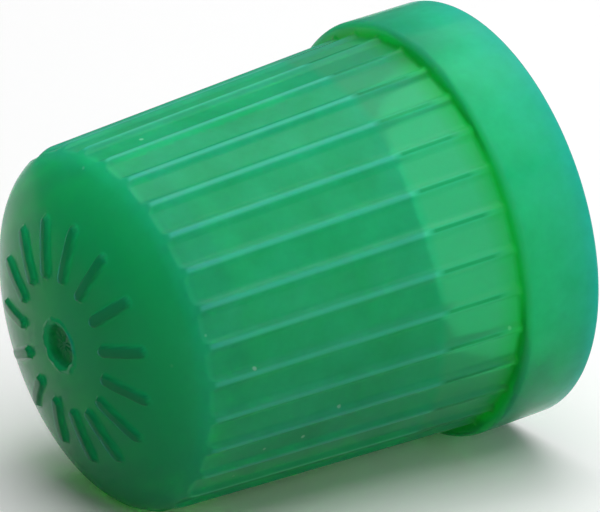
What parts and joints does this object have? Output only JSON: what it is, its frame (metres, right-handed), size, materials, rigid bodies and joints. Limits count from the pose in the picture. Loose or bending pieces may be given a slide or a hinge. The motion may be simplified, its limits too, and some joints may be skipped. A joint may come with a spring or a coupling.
{
  "type": "tyre valve cap",
  "caption": "Screw-on tyre valve cap of translucent green plastic, with a domed end, a ribbed tapered skirt, a smooth collar and a blind threaded bore.",
  "frame": {"origin": "centre of the mouth plane, on the cap's axis", "axes": "+Z along the axis, from the mouth to the dome; +X through the middle of one rib"},
  "size_m": [0.011, 0.011, 0.0128],
  "materials": {
    "green_plastic": "translucent green moulded plastic with a satin gloss"
  },
  "bodies": {
    "root": {"valve_cap": "green_plastic"}
  },
  "joints": []
}
